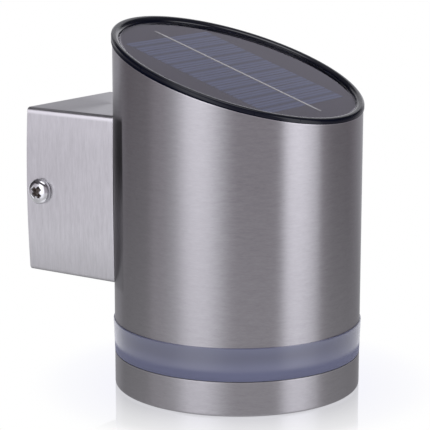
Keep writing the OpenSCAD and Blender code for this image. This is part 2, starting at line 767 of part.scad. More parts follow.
// Folded wall plate with two upright slots and an ear on each side for the side screws
plate_w = bracket_w - 2 * (bracket_t + plate_gap);
plate_h = bracket_h - 2 * (bracket_t + plate_gap + fold_r);
module wall_plate() placed() color(steel)
    translate([0, reach, mount_z]) difference() {
        union() {
            translate([-plate_w / 2 + plate_fold_r, -plate_t, -plate_h / 2])
                cube([plate_w - 2 * plate_fold_r, plate_t, plate_h]);
            translate([0, 0, -ear_h / 2]) linear_extrude(ear_h) polygon(concat(
                [[-plate_w / 2, -ear_l]],
                arc([-plate_w / 2 + plate_fold_r, -plate_fold_r], plate_fold_r, 180, 90),
                arc([plate_w / 2 - plate_fold_r, -plate_fold_r], plate_fold_r, 90, 0),
                [[plate_w / 2, -ear_l], [plate_w / 2 - plate_t, -ear_l]],
                arc([plate_w / 2 - plate_fold_r, -plate_fold_r], plate_fold_r - plate_t, 0, 90),
                arc([-plate_w / 2 + plate_fold_r, -plate_fold_r], plate_fold_r - plate_t, 90, 180),
                [[-plate_w / 2 + plate_t, -ear_l]]
            ));
        }
        for (side = [-1, 1])
            translate([0, past, side * slot_pitch / 2]) rotate([90, 0, 0])
                round_slot(slot_l, slot_w, plate_t + 2 * past);
        translate([-beyond / 2, -side_screw_inset, 0]) rotate([0, 90, 0])
            cylinder(r = side_screw_d / 2 + thread_clear, h = beyond);
    }

module side_screws() placed() color([0.88, 0.88, 0.9])
    for (side = [-1, 1])
        translate([side * (bracket_w / 2 + bracket_bow), reach - side_screw_inset, mount_z])
            rotate([0, side * 90, 0])
                pan_screw(side_screw_d, side_head_d, side_head_h, side_screw_l);

tube_shell();
panel_bezel();
bezel_seal();
panel_tape();
panel_board();
solar_cells();
cell_ribbon();
panel_resin();
panel_leads();
diffuser_ring();
bottom_cap();
base_frame();
base_screws();
reflector();
led_board();
leds();
led_board_screws();
led_leads();
chassis();
battery_holder();
batteries();
battery_contacts();
battery_springs();
battery_leads();
control_board();
control_chip();
inductor();
capacitor();
lead_sockets();
power_switch();
switch_slider();
switch_leads();
bracket_box();
bracket_bolts();
bracket_nuts();
wall_plate();
side_screws();
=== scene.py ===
"""Looks of the solar wall light: smooth visible surfaces, procedural finishes, studio and camera.

The file is laid out as an add-on and run as a script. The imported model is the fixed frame: its
pieces keep their place and shape, and a few are replaced by finer surfaces worked out with numpy.
All lengths are metres in the frame's axes: +Z up, the wall plane on Y = 0, the lamp towards -Y.
"""

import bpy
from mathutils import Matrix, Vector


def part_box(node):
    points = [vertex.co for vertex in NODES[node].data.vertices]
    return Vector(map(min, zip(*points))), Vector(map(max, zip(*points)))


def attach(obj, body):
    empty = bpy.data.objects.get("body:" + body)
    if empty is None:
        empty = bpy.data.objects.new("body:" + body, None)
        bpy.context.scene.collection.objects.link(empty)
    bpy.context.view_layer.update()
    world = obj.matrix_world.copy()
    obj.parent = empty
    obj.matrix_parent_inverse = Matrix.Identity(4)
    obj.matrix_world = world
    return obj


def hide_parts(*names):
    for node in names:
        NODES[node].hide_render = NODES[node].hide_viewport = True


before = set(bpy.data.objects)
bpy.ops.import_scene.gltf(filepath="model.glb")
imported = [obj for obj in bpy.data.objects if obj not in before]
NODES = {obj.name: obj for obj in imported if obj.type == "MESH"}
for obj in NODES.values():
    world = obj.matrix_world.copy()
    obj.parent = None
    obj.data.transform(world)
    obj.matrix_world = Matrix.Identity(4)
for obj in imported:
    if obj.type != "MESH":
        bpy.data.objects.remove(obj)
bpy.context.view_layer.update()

from math import atan2, cos, degrees, pi, radians, sin, sqrt, tan

import bpy
import numpy as np
from bpy.props import FloatProperty, FloatVectorProperty, IntProperty, PointerProperty
from mathutils import Quaternion, Vector

bl_info = {
    "name": "Solar wall light",
    "version": (1, 0, 0),
    "blender": (4, 5, 0),
    "location": "3D View > Sidebar > Wall light",
    "description": "Builds the finishes and fine surfaces of a solar wall light",
    "category": "Object",
}

MM = 0.001
MICRON = 0.000001


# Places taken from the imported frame

TUBE_LOW, TUBE_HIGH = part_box("tube_shell")
TUBE_R = (TUBE_HIGH.x - TUBE_LOW.x) / 2
AXIS_Y = (TUBE_HIGH.y + TUBE_LOW.y) / 2
BASE_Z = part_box("bottom_cap")[0].z
RING_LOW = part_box("bottom_cap")[1].z
RING_HIGH = TUBE_LOW.z
BOX_LOW, BOX_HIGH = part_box("bracket_box")
BOX_HALF_W = (BOX_HIGH.x - BOX_LOW.x) / 2
BOX_HALF_H = (BOX_HIGH.z - BOX_LOW.z) / 2
BOX_Z = (BOX_HIGH.z + BOX_LOW.z) / 2

# Head height, shank radius, shank length, then steps round and rings of the head
SIDE_SCREW = (3.3 * MM, 2.5 * MM, 12 * MM, 144, 56)
BRACKET_BOLT = (2.6 * MM, 2 * MM, 12 * MM, 72, 28)
BASE_SCREW = (1.8 * MM, 1.45 * MM, 20 * MM, 72, 28)
# Head radius of the base screws, their circle, its turns in degrees and the dimples' depth
BASE_HEAD_R, BASE_CIRCLE, BASE_TURNS, DIMPLE = 2.8 * MM, 33 * MM, (30, 150, 270), 2.4 * MM


# What a user may change


def length(name, description, mm):
    """A length property whose default is given in millimetres."""
    return FloatProperty(name=name, description=description, default=mm * MM, min=0.0,
                         subtype="DISTANCE", unit="LENGTH", precision=5)


def share(name, description, value):
    """A plain number property from 0 to 4."""
    return FloatProperty(name=name, description=description, default=value, min=0.0, max=4.0)


def colour(name, description, value):
    """A colour property, linear red, green and blue."""
    return FloatVectorProperty(name=name, description=description, default=value, size=3,
                               min=0.0, max=1.0, subtype="COLOR")


class WALLLIGHT_PG_sizes(bpy.types.PropertyGroup):
    """Sizes of the surfaces that this file draws itself."""

    slope: FloatProperty(name="Slope", description="Slope of the tube's slanted cut",
                         subtype="ANGLE", default=radians(17.4))
    panel_slope: FloatProperty(name="Panel slope", description="Slope of the lip and the panel",
                               subtype="ANGLE", default=radians(18.3))
    cut_height: length("Cut height", "Height of the cut above the base, on the tube's axis", 114.7)
    lip_height: length("Lip height", "Height of the bezel's lip above the cut", 2.5)
    lip_width: length("Lip width", "Width of the bezel's lip", 3.0)
    lip_overhang: length("Lip overhang", "How far the lip stands out over the tube", 0.35)
    lip_round: length("Outer round", "Radius of the lip's outer edge", 0.9)
    lip_inner_round: length("Inner round", "Radius of the lip's inner edge", 1.7)
    skirt_height: length("Skirt height", "Depth of the bezel's skirt inside the tube", 9.0)
    skirt_wall: length("Skirt wall", "Wall of the bezel's skirt", 1.7)
    skirt_gap: length("Skirt gap", "From the tube's outside to the skirt", 0.95)
    ledge_width: length("Ledge width", "Width of the ledge under the panel", 2.8)
    ledge_depth: length("Ledge depth", "Depth of the ledge's top below the cut", 2.2)
    ledge_thickness: length("Ledge thickness", "Thickness of the ledge", 1.6)
    groove_depth: length("Groove depth", "Depth of the groove for the sealing bead", 0.8)
    groove_height: length("Groove height", "Height of the groove for the sealing bead", 1.8)
    resin_height: length("Resin height", "Height of the clear resin above the cut", 0.85)
    resin_floor: length("Resin floor", "Height of the resin's underside above the cut", 0.19)
    resin_rise: length("Resin rise", "How far the resin climbs at its edge", 0.28)
    resin_rise_width: length("Resin rise width", "Width of the climbing edge", 1.1)
    board_top: length("Board top", "Depth of the board's top below the cut", 0.1)
    box_bow: length("Box bow", "Outward bow of the box's sides at the side screws", 1.0)
    box_bow_growth: share("Bow growth", "Growth of the bow per length towards the wall", 0.021)
    box_sheet: length("Box sheet", "Sheet thickness of the box", 1.0)
    box_fold: length("Box fold", "Outer radius of the box's folds", 1.4)
    box_edge: length("Box edge", "Radius of the box's cut edges", 0.14)
    saddle_radius: length("Saddle radius", "Radius of the saddle on the tube", 45.05)
    screw_inset: length("Screw inset", "Distance of the side screws from the wall", 6.8)
    cell_pitch: length("Cell pitch", "Distance from one cell strip to the next", 7.97)
    cell_shift: length("Cell shift", "Shift of the cells towards the wall", 1.2)
    rounds: IntProperty(name="Steps round", description="Steps round the tube", default=384)


class WALLLIGHT_PG_colours(bpy.types.PropertyGroup):
    """Colours of the finishes."""

    steel: colour("Steel", "Brushed steel of tube and cap", (0.345, 0.335, 0.352))
    box_steel: colour("Box steel", "Brushed steel of the bracket box", (0.575, 0.567, 0.590))
    plate: colour("Plate steel", "Zinc-plated wall plate", (0.52, 0.53, 0.54))
    chrome: colour("Chrome", "Polished side screws", (0.64, 0.64, 0.66))
    bright: colour("Bright steel", "Zinc-plated screws, bolts and nuts", (0.62, 0.62, 0.64))
    # Darker brown tone put in the screws' drive recesses.
    recess: colour("Recess", "Dirt in the screws' recesses", (0.055, 0.034, 0.022))
    gloss_black: colour("Gloss black", "Bezel", (0.0018, 0.0028, 0.0085))
    ring: colour("Ring", "Frosted light ring", (0.110, 0.119, 0.196))
    board: colour("Panel board", "Board under the cells", (0.024, 0.020, 0.036))
    cell: colour("Cell", "Blue silicon", (0.035, 0.049, 0.112))
    finger: colour("Cell finger", "Fine printed lines on the cells", (0.084, 0.106, 0.210))
    ribbon: colour("Ribbon", "Silver ribbon", (0.95, 0.93, 0.90))


class WALLLIGHT_PG_studio(bpy.types.PropertyGroup):
    """Camera and light."""

    camera_place: FloatVectorProperty(name="Camera place", description="Where the camera stands",
                                      default=(-0.53300, -0.43086, 0.12805),
                                      subtype="TRANSLATION", unit="LENGTH", precision=4)
    aim: FloatVectorProperty(name="Aim", description="Point on the lamp's axis",
                             default=(0.0, -0.077, -0.01375), subtype="TRANSLATION",
                             unit="LENGTH", precision=4)
    aim_right: share("Aim right", "How far right of the middle the aim shows, in frame widths",
                     22.47 / 430)
    aim_down: share("Aim down", "How far below the middle the aim shows, in frame widths",
                    22.30 / 430)
    roll: FloatProperty(name="Roll", description="Turn of the camera about its view",
                        default=radians(0.218), subtype="ANGLE")
    lens: FloatProperty(name="Lens", description="Focal length in millimetres", default=150.21,
                        min=1.0)
    backdrop: share("Backdrop", "Level of the white backdrop behind the lamp", 1.04)
    wall: share("Room", "Level of the studio between the lights", 0.45)
    low_wall: share("Low room", "Level of the studio under the horizon", 0.60)
    left_light: share("Left light", "Level that the left strip light adds", 1.68)
    right_light: share("Right light", "Level that the right strip light adds", 1.90)
    bracket_light: share("Bracket light", "Level that the light over the bracket adds", 0.35)
    screen: share("Dark screens", "Level of the dark screens at both sides", 0.26)
    flag: share("Flags", "Level of the dark flags at the backdrop", 0.05)
    gap: share("Gap", "Level of the dark gap over the lights", 0.12)
    ceiling: share("Ceiling", "Level of the overhead light in front", 2.1)
    dark_ceiling: share("Dark ceiling", "Level overhead at the sides and back", 0.30)
    floor_radius: length("Floor radius", "Radius of the white acrylic floor", 300.0)


# Shader trees


def operator(operation, swapped=False):
    """A method of Number that adds a Math node; swapped puts the other number first."""
    def method(self, other):
        return self.tree.math(operation, *((other, self) if swapped else (self, other)))
    return method


class Number:
    """A number socket of a tree. Arithmetic on it adds Math nodes."""

    def __init__(self, tree, socket):
        self.tree, self.socket = tree, socket

    __add__ = __radd__ = operator("ADD")
    __mul__ = __rmul__ = operator("MULTIPLY")
    __sub__, __rsub__ = operator("SUBTRACT"), operator("SUBTRACT", swapped=True)
    __truediv__ = operator("DIVIDE")

    def __abs__(self):
        return self.tree.math("ABSOLUTE", self)

    def step(self, low, high):
        """0 below low, 1 above high and a smooth step between; falls if low is above high."""
        return self.tree.value("MapRange", {"interpolation_type": "SMOOTHSTEP"},
                               {0: self, 1: low, 2: high})

    def band(self, centre, half, edge):
        """1 within half of centre, falling smoothly to 0 over edge."""
        return abs(self - centre).step(half + edge, half)


class Tree:
    """A node tree. add() makes every node, the rest are its common uses."""

    def __init__(self, tree):
        self.tree = tree
        tree.nodes.clear()

    def add(self, kind, settings=(), sockets=()):
        """A node of a kind with its settings, then the values or links of its sockets."""
        node = self.tree.nodes.new("ShaderNode" + kind)
        for key, value in dict(settings).items():
            if key == "stops":
                ramp = node.color_ramp.elements
                while len(ramp) < len(value):
                    ramp.new(1.0)
                for element, (position, shade) in zip(ramp, value):
                    element.position, element.color = position, (*shade, 1.0)
            elif key == "interpolation":
                node.color_ramp.interpolation = value
            else:
                setattr(node, key, value)
        for key, value in dict(sockets).items():
            socket = node.inputs[key]
            if isinstance(value, Number):
                value = value.socket
            if isinstance(value, bpy.types.NodeSocket):
                self.tree.links.new(value, socket)
            elif isinstance(value, (int, float)):
                socket.default_value = value
            else:
                value = tuple(value)
                wide = len(getattr(socket, "default_value", value))
                socket.default_value = value + (1.0,) * (wide - len(value))
        return node

    def value(self, kind, settings=(), sockets=(), output=0):
        return Number(self, self.add(kind, settings, sockets).outputs[output])

    def math(self, operation, *inputs):
        return self.value("Math", {"operation": operation}, dict(enumerate(inputs)))

    def mix(self, factor, first, second):
        """A colour between two, by a factor."""
        return self.add("Mix", {"data_type": "RGBA"},
                        {0: factor, 6: first, 7: second}).outputs[2]

    def shader(self, kind, sockets=()):
        return self.add(kind, (), sockets).outputs[0]

    def blend(self, factor, first, second):
        """A shader between two, by a factor."""
        return self.shader("MixShader", {0: factor, 1: first, 2: second})

    def split(self, vector):
        node = self.add("SeparateXYZ", (), {0: vector})
        return [Number(self, socket) for socket in node.outputs]

    def joined(self, x, y, z):
        return self.add("CombineXYZ", (), {0: x, 1: y, 2: z}).outputs[0]

    def noise(self, x, y, z, detail=2.0, roughness=0.5):
        """Cloud noise about 0.5 over the scaled coordinates."""
        return self.value("TexNoise", (), {"Vector": self.joined(x, y, z), "Scale": 1.0,
                                           "Detail": detail, "Roughness": roughness})

    def bump(self, height, relief):
        """A bump of the height, with its relief in microns."""
        return self.add("Bump", (), {"Height": height, "Distance": relief * MICRON}).outputs[0]


class Finish(Tree):
    """A material. at is the point's x, y and z in the object's own coordinates."""

    def __init__(self, name):
        self.material = bpy.data.materials.new(name)
        self.material.use_nodes = True
        super().__init__(self.material.node_tree)
        self.at = self.split(self.add("TexCoord").outputs["Object"])

    def cloud(self, scale, detail=2.0, roughness=0.5):
        """Cloud noise with one scale for all three coordinates."""
        return self.noise(*(part * scale for part in self.at), detail, roughness)

    def from_axis(self):
        """Distance from the tube's axis: the root of x squared plus y squared."""
        x, y = self.at[0], self.at[1] - AXIS_Y
        return self.math("SQRT", x * x + y * y)

    def done(self, base, roughness, height=None, relief=0, sockets=(), gloss=None):
        """Sets the Principled's sockets, with a bump of the height where there is one. gloss,
        where given, is the share of the Principled in a mix with Transparent."""
        sockets = {"Base Color": base, "Roughness": roughness, **dict(sockets)}
        if height is not None:
            sockets["Normal"] = self.bump(height, relief)
        shader = self.shader("BsdfPrincipled", sockets)
        if gloss is not None:
            shader = self.blend(gloss, self.shader("BsdfTransparent"), shader)
        self.add("OutputMaterial", (), {0: shader})
        return self.material


def tinted(shade, factor):
    """A colour times a number, kept within 0 to 1."""
    return tuple(min(1.0, part * factor) for part in shade)


def brushed(name, shade, roughness, anisotropy, turn, grain, relief, edge_tint=1.0, edges=None):
    """Brushed steel: fine lines from a noise stretched along the brushing, with their relief in
    microns, slow cloudy changes of tone, a few deeper scratches, and anisotropic gloss across
    the lines. edges takes x, y and z and gives two masks: where a highlight is painted lighter
    and where shade is painted darker."""
    f = Finish(name)
    x, y, z = (part * scale for part, scale in zip(f.at, grain))
    lines = f.noise(x, y, z, 3.0, 0.65)
    coarse = f.noise(x * 0.3 + 7, y * 0.3, z * 0.3, 2.0, 0.6)
    cloud = f.cloud(22)
    scratch = f.noise(x * 0.6, y * 0.6 + 3, z * 0.6, 1.0).step(0.74, 0.8)
    tone = (lines - 0.5) * 0.55 + (coarse - 0.5) * 0.5 + (cloud - 0.5) * 0.25 + 0.5
    base = f.mix(tone, tinted(shade, 0.72), tinted(shade, 1.28))
    base = f.mix(scratch * 0.35, base, tinted(shade, 0.7))
    gloss = roughness + (coarse - 0.5) * 0.10 + (cloud - 0.5) * 0.06 + scratch * 0.05
    if edges is not None:
        # Painted light: the first mask paints a highlight, the second paints shade.
        bright, painted_shade = edges(*f.at)
        base = f.mix(bright * 0.8, base, tinted(shade, 1.5))
        base = f.mix(painted_shade, base, tinted(shade, 0.15))
    height = lines * 0.6 + coarse * 0.6 - scratch * 0.5
    return f.done(base, gloss, height, relief, {
        "Metallic": 1.0, "Anisotropic": anisotropy, "Anisotropic Rotation": turn,
        "Specular Tint": (edge_tint, edge_tint, edge_tint)})


def plated(name, shade, roughness, recess=None):
    """Plated or polished metal: faint smudges in the gloss, fine tool marks, and a darker brown,
    rougher and less metallic tone where the attribute "recess" marks the drive recess."""
    f = Finish(name)
    smudge = f.cloud(420, 3.0, 0.6)
    fine = f.cloud(2600)
    base = f.mix(smudge, tinted(shade, 0.88), tinted(shade, 1.08))
    gloss = roughness + (smudge - 0.5) * 0.12
    metal = 1.0
    if recess is not None:
        deep_in_recess = f.value("Attribute", {"attribute_name": "recess"}, (), "Fac").step(0.04, 0.45)
        base = f.mix(deep_in_recess * (0.92 + (fine - 0.5) * 0.4), base, recess)
        gloss = gloss + deep_in_recess * 0.45
        metal = 1.0 - deep_in_recess * 0.85
    return f.done(base, gloss, fine, 4, {"Metallic": metal})


def moulded(name, shade, roughness, pebble=1500, relief=20, gloss_level=0.5):
    """Moulded plastic: a fine spark-eroded pebble, its relief in microns, slow drift of tone and
    a few rubbed places."""
    f = Finish(name)
    x, y, z = f.at
    grain = f.cloud(pebble)
    drift = f.cloud(35, 3.0, 0.6)
    rubbed = f.noise(x * 160, y * 160 + 5, z * 160, 3.0, 0.7).step(0.60, 0.75)
    base = f.mix(drift, tinted(shade, 0.85), tinted(shade, 1.15))
    base = f.mix(rubbed * 0.25, base, tinted(shade, 1.6))
    gloss = roughness + (drift - 0.5) * 0.10 - rubbed * 0.08
    return f.done(base, gloss, grain, relief, {"Specular IOR Level": gloss_level})


# Surfaces


def grid_faces(rows, columns, closed_rows, closed_columns):
    """Quads of a grid of rows x columns points; a closed direction joins its last line to its
    first."""
    i, j = np.meshgrid(np.arange(rows if closed_rows else rows - 1),
                       np.arange(columns if closed_columns else columns - 1), indexing="ij")
    i, j = i.ravel(), j.ravel()
    k, m = (i + 1) % rows, (j + 1) % columns
    return np.stack([i * columns + j, i * columns + m, k * columns + m, k * columns + j], 1)


def pole_faces(pole, ring, flip):
    """Triangles from one pole point to a closed ring of point numbers."""
    other = np.roll(ring, -1)
    fan = np.stack([np.full_like(ring, pole), ring, other], 1)
    return fan[:, ::-1] if flip else fan


def capped_faces(rows, steps):
    """Faces of a turned profile whose first and last rings close to two poles, which are the
    points after the last ring."""
    ring, poles = np.arange(steps), rows * steps
    return [grid_faces(rows, steps, False, True), pole_faces(poles, ring, True),
            pole_faces(poles + 1, ring + (rows - 1) * steps, False)]


def volume(points, faces):
    """Signed volume of a closed mesh, from its quads or triangles split into fans."""
    total = 0.0
    for face in faces:
        for k in range(1, face.shape[1] - 1):
            a, b, c = (points[face[:, n]] for n in (0, k, k + 1))
            total += np.einsum("ij,ij->i", a, np.cross(b, c)).sum() / 6
    return total


def new_piece(name, points, faces, material, stands_for, sharp=35.0, marks=None,
              body="lamp"):
    """A mesh object at the origin from points and a list of face arrays. Faces are turned
    outwards by the sign of the enclosed volume; edges sharper than sharp degrees stay crisp."""
    if volume(points, faces) < 0:
        faces = [face[:, ::-1] for face in faces]
    mesh = bpy.data.meshes.new(name)
    mesh.from_pydata(points.tolist(), [], [quad for face in faces for quad in face.tolist()])
    mesh.shade_smooth()
    mesh.set_sharp_from_angle(angle=radians(sharp))
    if marks is not None:
        mark = mesh.attributes.new("recess", "FLOAT", "POINT")
        mark.data.foreach_set("value", marks.astype(np.float32))
    mesh.materials.append(material)
    mesh.update()
    piece = bpy.data.objects.new(name, mesh)
    bpy.context.scene.collection.objects.link(piece)
    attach(piece, body)
    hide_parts(*stands_for)


def arc(centre, radius, start, end, steps):
    """Points of an arc about centre, by its angle in degrees."""
    angle = np.radians(np.linspace(start, end, steps + 1))
    return np.stack([centre[0] + radius * np.cos(angle), centre[1] + radius * np.sin(angle)], 1)


def leaning(points, rise, cut_height):
    """Lifts points given over a slanted plane: z grows with y by the rise, which is one number
    or one for each point."""
    lift = BASE_Z + cut_height + (points[:, 1] - AXIS_Y) * rise
    return points + np.stack([np.zeros_like(lift), np.zeros_like(lift), lift], 1)


def turned(profile, steps):
    """A profile of (radius, height) points carried once round the tube's axis: x and y are the
    radius times cosine and sine of the turn, z is the height."""
    turn = np.arange(steps) * 2 * pi / steps
    radius, height = profile[:, :1], profile[:, 1:]
    return np.stack([radius * np.cos(turn), AXIS_Y + radius * np.sin(turn),
                     height + 0 * turn], 2).reshape(-1, 3)


def bezel_profile(s):
    """Section of the bezel in order: seat on the tube, lip with its two rounds and flat top,
    inner wall, ledge, skirt inside and the groove for the sealing bead. Returns the section and
    the rise of each point's plane: seat, skirt and groove follow the cut, the rest the panel."""
    outer = TUBE_R + s.lip_overhang
    inner = outer - s.lip_width
    across = np.linspace(outer - s.lip_round, inner + s.lip_inner_round, 7)[1:-1]
    skirt, bottom = TUBE_R - s.skirt_gap, -s.skirt_height
    back = skirt - s.skirt_wall
    ledge, ledge_top = back - s.ledge_width, -s.ledge_depth
    ledge_low = ledge_top - s.ledge_thickness
    groove, groove_top = skirt - s.groove_depth, bottom + 3 * MM
    groove_low = groove_top - s.groove_height
    seat = np.concatenate([arc((skirt + 0.1 * MM, -0.1 * MM), 0.1 * MM, 180, 90, 3),
                           arc((outer - 0.15 * MM, 0.15 * MM), 0.15 * MM, -90, 0, 4)])
    lid = np.concatenate([
        arc((outer - s.lip_round, s.lip_height - s.lip_round), s.lip_round, 0, 90, 16),
        np.stack([across, np.full(5, s.lip_height)], 1),
        arc((inner + s.lip_inner_round, s.lip_height - s.lip_inner_round),
            s.lip_inner_round, 90, 180, 12),
        [[inner, 0.2 * MM], [inner, ledge_top], [ledge, ledge_top], [ledge, ledge_low],
         [back, ledge_low]]])
    hidden = np.array([[back, bottom], [skirt, bottom], [skirt, groove_low],
                       [groove, groove_low], [groove, groove_top], [skirt, groove_top]])
    rise = np.repeat([tan(s.slope), tan(s.panel_slope), tan(s.slope)],
                     [len(seat), len(lid), len(hidden)])
    return np.concatenate([seat, lid, hidden]), rise


def box_outline(s, turns=10, side_steps=28, top_steps=20):
    """Outline of the box seen from the wall, and its outward directions: a rectangle with round
    folds, walked once round with its long sides cut into many steps."""
    a, b = BOX_HALF_W - s.box_bow - s.box_fold, BOX_HALF_H - s.box_fold
    corners = np.array([(a, b), (-a, b), (-a, -b), (a, -b)])
    parts, ways = [], []
    for k, corner in enumerate(corners):
        way = arc((0, 0), 1, 90 * k, 90 * k + 90, turns)
        fold = corner + s.box_fold * way
        end = corners[(k + 1) % 4] + s.box_fold * way[-1]
        along = np.linspace(0, 1, (top_steps, side_steps)[k % 2] + 1)[1:-1, None]
        parts += [fold, fold[-1] + (end - fold[-1]) * along]
        ways += [way, np.repeat(way[-1:], len(along), 0)]
    return np.concatenate(parts), np.concatenate(ways)


def box_shell(s):
    """The folded box as one closed sheet. A rounded strip section (share of the depth, offset,
    depth into the sheet) goes round the outline: x and z are the outline less the sheet depth
    times its outward direction, y runs from the saddle on the tube to the wall, and the sides
    bow out with one minus the square of the height, growing towards the wall."""
    outline, outward = box_outline(s)
    e, t = s.box_edge, s.box_sheet

    def corner(share_of_depth, centre, start):
        edge = arc(centre, e, start, start + 90, 4)
        return np.stack([np.full(len(edge), share_of_depth), *edge.T], 1)

    run = np.array([0.006, 0.012, 0.125, 0.25, 0.375, 0.5, 0.625, 0.75, 0.875, 0.988, 0.994])
    section = np.concatenate([
        corner(0.0, (e, e), 180), np.stack([run, 0 * run, 0 * run], 1),
        corner(1.0, (-e, e), 270), corner(1.0, (-e, t - e), 0),
        np.stack([run[::-1], 0 * run, 0 * run + t], 1), corner(0.0, (e, t - e), 90)])
    along, offset, depth = section[:, :1], section[:, 1:2], section[:, 2:3]
    x = outline[:, 0] - depth * outward[:, 0]
    z = outline[:, 1] - depth * outward[:, 1]
    from_axis_near = np.sqrt(s.saddle_radius ** 2 - x ** 2)
    reach = BOX_HIGH.y - AXIS_Y
    y = from_axis_near + (reach - from_axis_near) * along + offset
    bow = s.box_bow + s.box_bow_growth * (y - (reach - s.screw_inset))
    x = x + x / (BOX_HALF_W - s.box_bow) * bow * (1 - (z / BOX_HALF_H) ** 2)
    points = np.stack([x, AXIS_Y + y, BOX_Z + z], 2).reshape(-1, 3)
    return points, [grid_faces(len(section), len(outline), True, True)]


def saddle_plate(s):
    """The curved plate that closes the box on the tube: a grid over width and height, laid on
    two cylinders about the tube's axis, one sheet apart, and joined round its edge."""
    wide = np.linspace(-1, 1, 25) * (BOX_HALF_W - s.box_bow - s.box_sheet)
    tall = np.linspace(-1, 1, 13) * (BOX_HALF_H - s.box_sheet)
    x, z = np.meshgrid(wide, tall, indexing="ij")
    layers = [np.stack([x, AXIS_Y + np.sqrt(radius ** 2 - x ** 2), BOX_Z + z], 2)
              for radius in (s.saddle_radius, s.saddle_radius + s.box_sheet)]
    count = x.size
    face = grid_faces(len(wide), len(tall), False, False)
    number = np.arange(count).reshape(x.shape)
    rim = np.concatenate([number[:-1, 0], number[-1, :-1], number[:0:-1, -1], number[0, :0:-1]])
    after = np.roll(rim, -1)
    edge = np.stack([rim, rim + count, after + count, after], 1)
    return (np.concatenate([layer.reshape(-1, 3) for layer in layers]),
            [face, face[:, ::-1] + count, edge])


def screw_shape(head_r, head_h, shank_r, shank_l, steps, rings):
    """A pan-head screw standing on z = 0 with its shank below: a profile of dome, rim round and
    shank turned about z, less a cross recess whose two arms have sloping walls and ends. The
    dome's height over the rim is one minus the cube of the share of the radius, to the power
    0.65. Returns the points, the faces and how deep in the recess each point is."""
    rim_h, recess_h, soft = 0.42 * head_h, 0.55 * head_h, 0.06 * head_r
    out = np.linspace(0, 1, rings + 1)[1:] * 0.975
    dome = np.stack([out * head_r, rim_h + (head_h - rim_h) * (1 - out ** 3) ** 0.65], 1)
    profile = np.concatenate([
        dome,
        arc((head_r - soft, rim_h - soft * 0.6), soft, 30, 0, 4),
        [[head_r, soft], [head_r - soft * 0.4, soft * 0.25], [head_r - soft, 0.0]],
        [[shank_r + soft * 0.5, 0.0], [shank_r, -soft * 0.5]],
        np.stack([np.full(12, shank_r), np.linspace(-0.06, -0.94, 12) * shank_l], 1),
        [[shank_r * 0.6, -shank_l]],
    ])
    turn = np.arange(steps) * 2 * pi / steps
    x = profile[:, :1] * np.cos(turn)
    y = profile[:, :1] * np.sin(turn)
    arm_half, arm_long = 0.14 * head_r, 0.56 * head_r
    wall, end = 0.07 * head_r, 0.30 * head_r

    def in_arm(u, v):
        return np.minimum((arm_long - abs(u)) / end, (arm_half + wall - abs(v)) / wall)

    a, b = (x + y) / sqrt(2), (x - y) / sqrt(2)
    inside = np.clip(np.maximum(in_arm(a, b), in_arm(b, a)), 0, 1)
    inside = inside * (np.arange(len(profile)) < rings)[:, None]
    inside = inside * inside * (3 - 2 * inside)
    z = profile[:, 1:] - inside * recess_h
    points = np.concatenate([np.stack([x, y, z], 2).reshape(-1, 3),
                             [[0, 0, head_h - recess_h], [0, 0, -shank_l]]])
    marks = np.concatenate([inside.ravel(), [1.0, 0.0]])
    return points, capped_faces(len(profile), steps), marks


def turned_to(points, outward, seat):
    """Points that stand on z = 0 along +z, turned to a direction and moved to a seat."""
    turn = np.array(Vector((0, 0, 1)).rotation_difference(Vector(outward)).to_matrix())
    return points @ turn.T + np.array(seat)


# Operators


def settings(context):
    """The three groups of properties."""
    scene = context.scene
    return scene.walllight_sizes, scene.walllight_colours, scene.walllight_studio


def give(material, *names):
    """Puts a material on CAD nodes, through their objects' material slots."""
    for name in names:
        for slot in NODES[name].material_slots:
            slot.material = material


class WALLLIGHT_OT_body(bpy.types.Operator):
    """Brushed steel of the tube and the base cap"""

    bl_idname = "walllight.body"
    bl_label = "Tube and cap"

    def execute(self, context):
        sizes, colours, _ = settings(context)

        def edges(x, y, z):
            """Painted highlights: lighter along the slanted cut and at both sides of the ring.
            Painted
            shadow: darker on the tube beside the box, in the box's shade."""
            # Painted highlights: lighter just under the slanted cut and at both edges of the ring.
            under = BASE_Z + sizes.cut_height + (y - AXIS_Y) * tan(sizes.slope) - z
            at_ring = z.band(RING_HIGH, 0.3 * MM, 0.2 * MM) + z.band(RING_LOW, 0.3 * MM, 0.2 * MM)
            up = (z - BOX_LOW.z) / (2 * BOX_HALF_H)
            # Painted shadow: darker on the tube beside the box, strongest towards the box's top.
            painted_shade = (y - AXIS_Y).step(22.6 * MM, 23.4 * MM) * up.step(0.0, 0.04) \
                * up.step(1.05, 1.0) * (0.25 + 0.7 * up.step(0.40, 0.80))
            return under.step(0.5 * MM, 0.25 * MM) + at_ring * 0.35, painted_shade

        give(brushed("brushed_steel_round", colours.steel, roughness=0.33, anisotropy=0.97,
                     turn=0.25, grain=(640, 640, 3600), relief=14, edge_tint=0.5, edges=edges),
             "tube_shell", "bottom_cap")
        return {"FINISHED"}


